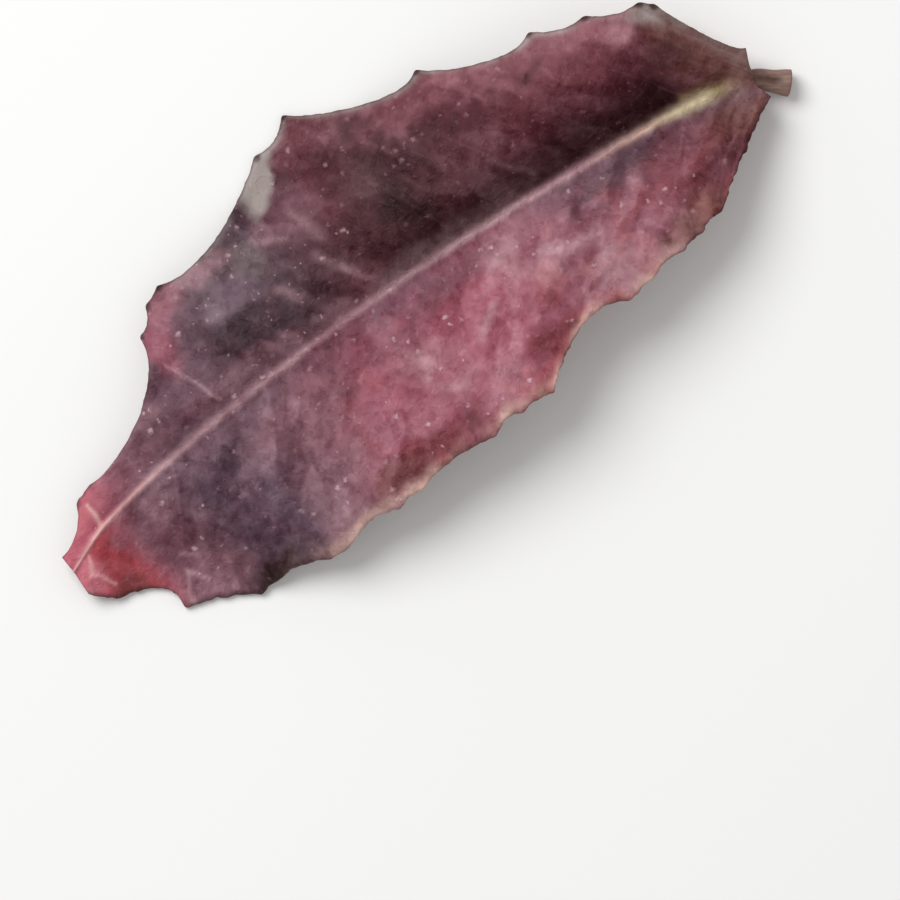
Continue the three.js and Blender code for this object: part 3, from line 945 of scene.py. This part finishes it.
def upper_tint(leaf):
    """Paint of every point of the upper face."""
    blots = wander(leaf["x"], leaf["y"], BLOTS)
    colour = patched(leaf, blots)
    colour = stroked(leaf, colour, blots)
    colour = ribbed(leaf, colour)
    return edged(leaf, colour)


def lower_tint(leaf):
    """Paint of every point of the underside."""
    colour = np.broadcast_to(UNDERSIDE, leaf["x"].shape + (3,))
    blush = ramp(wander(leaf["x"], leaf["y"], BLUSH), *BLUSH_BORDER)
    colour = blended(colour, UNDERSIDE_BLUSH, blush)
    rib = UNDER_RIB_STRENGTH * hill(leaf["from_rib"], UNDER_RIB_HALF_WIDTH)
    colour = blended(colour, UNDERSIDE_RIB, rib)
    return edged(leaf, colour)


def stalk_tint(channel):
    """Paint of every point of the stalk, which takes the blade's colour where it meets it."""
    share = np.broadcast_to(np.linspace(0, 1, STALK_RINGS)[:, None], channel.shape)
    colour = np.broadcast_to(BARK, channel.shape + (3,))
    colour = blended(colour, BROWN, ramp(share, *STALK_BROWNING))
    return blended(colour, BARK_GROOVE, CHANNEL_STRENGTH * channel)


def markings(leaf):
    """How strongly each sort of marking shows at every point of the upper face."""
    x, out, from_rib = leaf["x"], leaf["out"], leaf["from_rib"]
    on_left = leaf["side"] > 0
    # painted sheen: lilac clouds beside the midrib, mostly on the left half
    lilac_sheen = np.where(on_left, LILAC_SHEEN_LEFT, LILAC_SHEEN_RIGHT) * ramp(from_rib, *LILAC_SHEEN_FROM_RIB)
    lilac_sheen *= within(x, LILAC_SHEEN_SPAN) * ramp(out, *LILAC_SHEEN_TO_MARGIN)
    flush = np.where(on_left, FLUSH_LEFT, 0.0) * ramp(from_rib, *FLUSH_FROM_RIB)
    flush *= within(x, FLUSH_SPAN)
    unevenness = np.where(on_left, UNEVEN_LEFT, ramp(x, *UNEVEN_RIGHT))
    unevenness *= ramp(x, *UNEVEN_TO_TIP) * (1 - UNEVEN_LOSS_ON_SHEEN_PATCH * sheen_patch(leaf))
    vein_show = leaf["clearness"] * ramp(leaf["t"], *VEIN_SHOW_FROM_RIB) * ramp(out, *VEIN_SHOW_TO_MARGIN)
    # painted glints: how strongly the pale specks on glands and flecks show
    glint_gland_show = np.where(on_left, GLINT_GLANDS_LEFT, ramp(x, *GLINT_GLANDS_RIGHT))
    glint_gland_show *= within(x, GLINT_GLANDS_SPAN)
    return {
        "lilac_sheen": lilac_sheen,
        "flush": flush,
        "unevenness": unevenness,
        "net_show": ramp(x, *NET_SHOW),
        "vein_show": vein_show,
        "glint_gland_show": glint_gland_show,
        "glint_fleck_show": np.where(on_left, GLINT_FLECKS_LEFT, ramp(x, *GLINT_FLECKS_RIGHT)),
    }


class Skin:
    """A material with short calls for the nodes that it is made of."""

    def __init__(self, name):
        self.material = bpy.data.materials.new(name)
        self.material.use_nodes = True
        self.tree = self.material.node_tree
        self.shader = self.tree.nodes["Principled BSDF"]
        metres = self.tree.nodes.new("ShaderNodeTexCoord").outputs["Object"]
        self.millimetres = self.scaled(metres, 1 / MM)

    def node(self, kind, inputs, **settings):
        """A node whose inputs are linked where a socket is given and set where a value is."""
        made = self.tree.nodes.new(kind)
        for name, value in settings.items():
            setattr(made, name, value)
        for key, value in inputs.items():
            if isinstance(value, bpy.types.NodeSocket):
                self.tree.links.new(value, made.inputs[key])
            else:
                made.inputs[key].default_value = value
        return made

    def attribute(self, name, output="Fac"):
        return self.node("ShaderNodeAttribute", {}, attribute_name=name).outputs[output]

    def tint(self):
        return self.attribute("tint", "Color")

    def math(self, operation, first, second=0.0):
        return self.node("ShaderNodeMath", {0: first, 1: second}, operation=operation).outputs[0]

    def vector_math(self, operation, first, second):
        return self.node("ShaderNodeVectorMath", {0: first, 1: second}, operation=operation).outputs[0]

    def times(self, first, second):
        return self.math("MULTIPLY", first, second)

    def total(self, first, *others):
        for other in others:
            first = self.math("ADD", first, other)
        return first

    def scaled(self, vector, factor):
        """A place or a colour, times a factor."""
        return self.node("ShaderNodeVectorMath", {0: vector, "Scale": factor}, operation="SCALE").outputs[0]

    def ramp(self, value, low, high, start=0.0, end=1.0):
        """From start to end, smoothly, as the value goes from low to high."""
        inputs = {"Value": value, "From Min": low, "From Max": high, "To Min": start, "To Max": end}
        return self.node("ShaderNodeMapRange", inputs, interpolation_type="SMOOTHSTEP").outputs[0]

    def noise(self, per_mm, detail, roughness=0.55, place=None):
        place = place or self.millimetres
        inputs = {"Vector": place, "Scale": per_mm, "Detail": detail, "Roughness": roughness}
        return self.node("ShaderNodeTexNoise", inputs).outputs["Fac"]

    def patches(self, per_mm, seed):
        """Uneven patches, one in their middles and zero between them."""
        inputs = {"Vector": self.millimetres, "W": seed, "Scale": per_mm, "Detail": 1.6, "Distortion": 0.6}
        field = self.node("ShaderNodeTexNoise", inputs, noise_dimensions="4D").outputs["Fac"]
        return self.ramp(field, *NOISE_PATCH_RANGE)

    def mix(self, share, colour, paint):
        made = self.node("ShaderNodeMix", {0: share, 6: colour}, data_type="RGBA")
        made.inputs[7].default_value = (*paint, 1)
        return made.outputs[2]

    def lightened(self, colour, amount):
        """The colour with the same amount added to its red, green and blue as they show on a screen."""
        shown = self.node("ShaderNodeGamma", {0: colour, 1: 1 / SCREEN_GAMMA}).outputs[0]
        kept = self.vector_math("MAXIMUM", self.vector_math("ADD", shown, amount), DARKEST)
        return self.node("ShaderNodeGamma", {0: kept, 1: SCREEN_GAMMA}).outputs[0]

    def along_veins(self, per_vein, per_width):
        """Coordinates that run across and along the side veins, for streaks that follow them."""
        across = self.times(self.attribute("phase"), per_vein)
        outward = self.times(self.attribute("out"), per_width)
        return self.node("ShaderNodeCombineXYZ", {0: across, 1: outward}).outputs[0]

    def stirred(self, place, per_unit, amount):
        """The place, pushed about by a noise, so that what is drawn there has uneven borders."""
        inputs = {"Vector": place, "Scale": per_unit, "Detail": 2.0}
        push = self.node("ShaderNodeTexNoise", inputs).outputs["Color"]
        centred = self.vector_math("SUBTRACT", push, NOISE_MIDDLE)
        return self.vector_math("ADD", place, self.scaled(centred, amount))

    def dabs(self, place):
        """Two random values that stay about the same over each dab, as with a brush."""
        inputs = {"Vector": place, "Scale": 1.0, "Smoothness": 1.0}
        cells = self.node("ShaderNodeTexVoronoi", inputs, feature="SMOOTH_F1", voronoi_dimensions="2D")
        picks = self.node("ShaderNodeSeparateColor", {0: cells.outputs["Color"]}).outputs
        return picks[0], picks[1]

    def humps(self, per_mm, seed):
        """Patches that are lighter, less those that are darker."""
        light = self.ramp(self.patches(per_mm, seed), 0, 1, 0, HUMP_LIGHT)
        dark = self.ramp(self.patches(PITS_FINER * per_mm, seed + PITS_SEED), 0, 1, 0, HUMP_LIGHT)
        return self.math("SUBTRACT", light, dark)

    def specks(self, per_mm, radius, share):
        """Uneven dots of up to a radius in millimetres in a share of the cells of a Voronoi pattern."""
        place = self.stirred(self.millimetres, *SPECK_STIR)
        cells = self.node("ShaderNodeTexVoronoi", {"Vector": place, "Scale": per_mm})
        picks = self.node("ShaderNodeSeparateColor", {0: cells.outputs["Color"]}).outputs
        reach = self.ramp(picks[1], 0, 1, SPECK_LEAST * radius * per_mm, radius * per_mm)
        dot = self.ramp(self.math("DIVIDE", cells.outputs["Distance"], reach), *SPECK_EDGE)
        return self.times(dot, self.ramp(picks[0], 1 - share, 1 + SPECK_PICK - share))

    def veins(self, half_width):
        """One along the middle of every side vein and of its forks, zero beside it."""
        first = self.math("ABSOLUTE", self.attribute("vein_a"))
        second = self.math("ABSOLUTE", self.attribute("vein_b"))
        reach = half_width * math.pi / VEIN_SPACING
        return self.ramp(self.math("MINIMUM", first, second), VEIN_LINE_CORE * reach, reach, 1, 0)

    def finish(self, colour, roughness, height, bump_strength, bump_mm):
        bump_inputs = {"Height": height, "Strength": bump_strength, "Distance": bump_mm * MM}
        bump = self.node("ShaderNodeBump", bump_inputs)
        self.tree.links.new(colour, self.shader.inputs["Base Color"])
        self.tree.links.new(roughness, self.shader.inputs["Roughness"])
        self.tree.links.new(bump.outputs[0], self.shader.inputs["Normal"])
        return self.material


def upper_skin():
    skin = Skin("upper_skin")
    grain = skin.noise(GRAIN_PER_MM, detail=3)
    mottle = skin.noise(MOTTLE_PER_MM, detail=2.5)
    shade, pale = skin.dabs(skin.stirred(skin.along_veins(DABS_PER_VEIN, DABS_PER_WIDTH), *DAB_STIR))
    # painted sheen: lilac dabs and patches where the lilac sheen is strong
    lilac_sheen = skin.attribute("lilac_sheen")
    colour = skin.mix(skin.times(skin.ramp(pale, *LILAC_SHEEN_DABS), lilac_sheen), skin.tint(), LILAC)
    colour = skin.mix(skin.times(skin.patches(*LILAC_SHEEN_PATCHES), lilac_sheen), colour, LILAC)
    flush = skin.times(skin.patches(*SALMON_PATCHES), skin.attribute("flush"))
    colour = skin.mix(flush, colour, SALMON)

    mottle_light = skin.ramp(mottle, *NOISE_RANGE, -MOTTLE_LIGHT, MOTTLE_LIGHT)
    dab_light = skin.ramp(shade, *DAB_RANGE, -DAB_LIGHT, DAB_LIGHT)
    grain_light = skin.ramp(grain, *NOISE_RANGE, -GRAIN_LIGHT, GRAIN_LIGHT)
    fine_humps = skin.humps(*FINE_HUMPS)
    light = skin.total(mottle_light, dab_light, skin.humps(*COARSE_HUMPS), fine_humps, grain_light)
    colour = skin.lightened(colour, skin.times(light, skin.attribute("unevenness")))

    net = skin.times(skin.ramp(skin.attribute("net"), *NET_LINE), skin.attribute("net_show"))
    colour = skin.mix(net, colour, PALE_VEIN)
    broken = skin.times(skin.attribute("vein_show"), skin.ramp(mottle, *VEIN_BREAKS))
    colour = skin.mix(skin.times(skin.veins(VEIN_LINE), broken), colour, PALE_VEIN)

    # painted glints: pale specks on the small glands, which also bump the surface, and on the flecks
    crowds = skin.ramp(skin.noise(GLINT_GLAND_CROWDS_PER_MM, detail=3), *GLINT_GLAND_CROWDS)
    glint_glands = skin.times(skin.times(skin.specks(*GLINT_GLAND_SPECKS), crowds), skin.attribute("glint_gland_show"))
    colour = skin.mix(glint_glands, colour, GLINT_SPECK)
    crowds = skin.ramp(skin.noise(GLINT_FLECK_CROWDS_PER_MM, detail=2), *GLINT_FLECK_CROWDS)
    glint_flecks = skin.times(skin.times(skin.specks(*GLINT_FLECK_SPECKS), crowds), skin.attribute("glint_fleck_show"))
    colour = skin.mix(glint_flecks, colour, GLINT_SPECK)

    mottle_roughness = skin.ramp(mottle, *NOISE_RANGE, *UPPER_ROUGHNESS)
    grain_roughness = skin.ramp(grain, *NOISE_RANGE, -GRAIN_ROUGHNESS, GRAIN_ROUGHNESS)
    roughness = skin.total(mottle_roughness, grain_roughness)
    mottle_height = skin.times(mottle, MOTTLE_HEIGHT)
    hump_height = skin.times(fine_humps, HUMP_HEIGHT)
    height = skin.total(grain, mottle_height, hump_height, skin.times(glint_glands, GLAND_HEIGHT))
    skin.shader.inputs["Specular IOR Level"].default_value = UPPER_SPECULAR
    return skin.finish(colour, roughness, height, *UPPER_BUMP)


def under_skin():
    skin = Skin("under_skin")
    mottle = skin.noise(MOTTLE_PER_MM, detail=5, roughness=0.6)
    grain = skin.noise(UNDER_GRAIN_PER_MM, detail=3)
    colour = skin.scaled(skin.tint(), skin.ramp(mottle, *UNDER_MOTTLE_RANGE, *UNDER_SHADES))
    net = skin.times(skin.ramp(skin.attribute("net"), *UNDER_NET_LINE), UNDER_NET_STRENGTH)
    colour = skin.mix(net, colour, UNDERSIDE_RIB)
    veins = skin.times(skin.veins(UNDER_VEIN_LINE), UNDER_VEIN_STRENGTH)
    colour = skin.mix(veins, colour, UNDERSIDE_RIB)
    roughness = skin.ramp(grain, *NOISE_RANGE, *UNDER_ROUGHNESS)
    return skin.finish(colour, roughness, skin.total(grain, mottle), *UNDER_BUMP)


def stalk_skin():
    skin = Skin("stalk_skin")
    heading = math.atan2(STALK_PATH[-1][1] - STALK_PATH[0][1], STALK_PATH[-1][0] - STALK_PATH[0][0])
    stretch = {"Vector": skin.millimetres, "Rotation": (0, 0, heading), "Scale": STALK_STREAKS}
    place = skin.node("ShaderNodeMapping", stretch, vector_type="TEXTURE").outputs[0]
    streaks = skin.noise(per_mm=1.0, detail=4, roughness=0.6, place=place)
    colour = skin.scaled(skin.tint(), skin.ramp(streaks, *NOISE_RANGE, *STALK_SHADES))
    roughness = skin.ramp(streaks, *NOISE_RANGE, *STALK_ROUGHNESS)
    return skin.finish(colour, roughness, streaks, *STALK_BUMP)


def skin_faces(sections, width):
    """Quads of one closed skin over the sections, whether each is an under one, and where it starts."""
    i, j = np.meshgrid(np.arange(sections - 1), np.arange(width - 1), indexing="ij")
    step = 2 * width
    upper = (i * step + j).ravel()
    top = np.stack([upper, upper + step, upper + step + 1, upper + 1], axis=1)
    under = np.stack([upper, upper + 1, upper + step + 1, upper + step], axis=1) + width
    first = np.arange(sections - 1) * step
    right_rim = np.stack([first, first + width, first + width + step, first + step], axis=1)
    last = first + width - 1
    left_rim = np.stack([last, last + step, last + step + width, last + width], axis=1)
    across = np.arange(width - 1)
    foot = np.stack([across, across + 1, across + 1 + width, across + width], axis=1)
    end = (sections - 1) * step + across
    tip = np.stack([end, end + width, end + width + 1, end + 1], axis=1)
    faces = np.concatenate([top, under, right_rim, left_rim, foot, tip])
    is_under = np.zeros(len(faces), bool)
    is_under[len(top) : len(top) + len(under)] = True
    return faces, is_under, faces.min(axis=1) // step


def whole(stalk_above, blade_above, stalk_below, blade_below):
    """Upper and lower grids of the stalk and the blade, joined in the order of the skin's points."""
    above = np.concatenate([stalk_above, blade_above])
    below = np.concatenate([stalk_below, blade_below])
    return np.concatenate([above, below], axis=1)


def store(mesh, name, on_stalk, above, below):
    """Keep a value of every point with the mesh: one for the stalk, and a grid for each face."""
    stalk_values = np.full((STALK_RINGS, above.shape[1]), on_stalk)
    values = whole(stalk_values, above, stalk_values, below).ravel()
    layer = mesh.attributes.new(name, "FLOAT", "POINT")
    layer.data.foreach_set("value", values.astype(np.float32))


def store_tint(mesh, leaf, channel):
    """Keep the paint of every point with the mesh."""
    stalk_below = stalk_tint(np.zeros_like(channel))
    tint = whole(stalk_tint(channel), upper_tint(leaf), stalk_below, lower_tint(leaf))
    rgb = np.clip(tint.reshape(-1, 3), 0, 1)
    rgba = np.column_stack([rgb, np.ones(len(rgb))])
    layer = mesh.attributes.new("tint", "FLOAT_COLOR", "POINT")
    layer.data.foreach_set("color", rgba.ravel().astype(np.float32))


def make_leaf():
    leaf, blade_upper, blade_lower = blade()
    width = leaf["x"].shape[1]
    stalk_upper, stalk_lower, channel = stalk(width)
    points = whole(stalk_upper, blade_upper, stalk_lower, blade_lower).reshape(-1, 3) * MM
    low, high = (np.array(corner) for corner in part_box("leaf"))
    shift = (low + high) / 2 - (points.min(axis=0) + points.max(axis=0)) / 2
    shift[2] = 0
    faces, is_under, first_section = skin_faces(STALK_RINGS + ROWS + 1, width)

    mesh = bpy.data.meshes.new("leaf_skin")
    mesh.from_pydata((points + shift).tolist(), [], faces.tolist())
    mesh.shade_smooth()
    for material in (upper_skin(), under_skin(), stalk_skin()):
        mesh.materials.append(material)
    skin_of_face = np.where(is_under, ON_UNDER, ON_UPPER)
    skin_of_face[first_section < STALK_RINGS] = ON_STALK
    mesh.polygons.foreach_set("material_index", skin_of_face.astype(np.int32))
    for name in ("vein_a", "vein_b", "net", "phase", "out"):
        store(mesh, name, 1.0, leaf[name], leaf[name])
    for name, strength in markings(leaf).items():
        store(mesh, name, 0.0, strength, np.zeros_like(strength))
    store_tint(mesh, leaf, channel)

    piece = bpy.data.objects.new("leaf_skin", mesh)
    bpy.context.scene.collection.objects.link(piece)
    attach(piece, "root")
    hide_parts("leaf")


def make_floor():
    mesh = bpy.data.meshes.new("floor")
    corners = [(x * FLOOR_HALF, y * FLOOR_HALF, 0) for x, y in ((-1, -1), (1, -1), (1, 1), (-1, 1))]
    mesh.from_pydata(corners, [], [(0, 1, 2, 3)])
    material = bpy.data.materials.new("pale_floor")
    material.use_nodes = True
    shader = material.node_tree.nodes["Principled BSDF"]
    shader.inputs["Base Color"].default_value = FLOOR_COLOUR
    shader.inputs["Roughness"].default_value = FLOOR_ROUGHNESS
    mesh.materials.append(material)
    floor = bpy.data.objects.new("floor", mesh)
    floor.location.z = -FLOOR_GAP
    bpy.context.scene.collection.objects.link(floor)


def make_light():
    world = bpy.data.worlds.new("surround")
    world.use_nodes = True
    background = world.node_tree.nodes["Background"]
    background.inputs["Color"].default_value = SURROUND_COLOUR
    background.inputs["Strength"].default_value = SURROUND_STRENGTH
    bpy.context.scene.world = world
    light = bpy.data.lights.new("key", "AREA")
    light.shape = "DISK"
    light.size = KEY_SIZE
    light.energy = KEY_POWER
    key = bpy.data.objects.new("key", light)
    level = math.cos(KEY_ELEVATION)
    towards = Vector((KEY_HEADING[0] * level, KEY_HEADING[1] * level, math.sin(KEY_ELEVATION)))
    key.location = towards * KEY_DISTANCE
    key.rotation_euler = towards.to_track_quat("Z", "Y").to_euler()
    bpy.context.scene.collection.objects.link(key)


def make_camera():
    data = bpy.data.cameras.new("camera")
    data.lens = data.sensor_width * (CAMERA_HEIGHT - LEAF_LEVEL) / SEEN_WIDTH
    camera = bpy.data.objects.new("camera", data)
    camera.location = (CAMERA_OVER[0] * MM, CAMERA_OVER[1] * MM, CAMERA_HEIGHT * MM)
    camera.rotation_euler = (0, 0, CAMERA_TURN)
    bpy.context.scene.collection.objects.link(camera)
    bpy.context.scene.camera = camera


make_leaf()
make_floor()
make_light()
make_camera()
bpy.context.scene.view_settings.view_transform = "Standard"

bpy.context.view_layer.update()
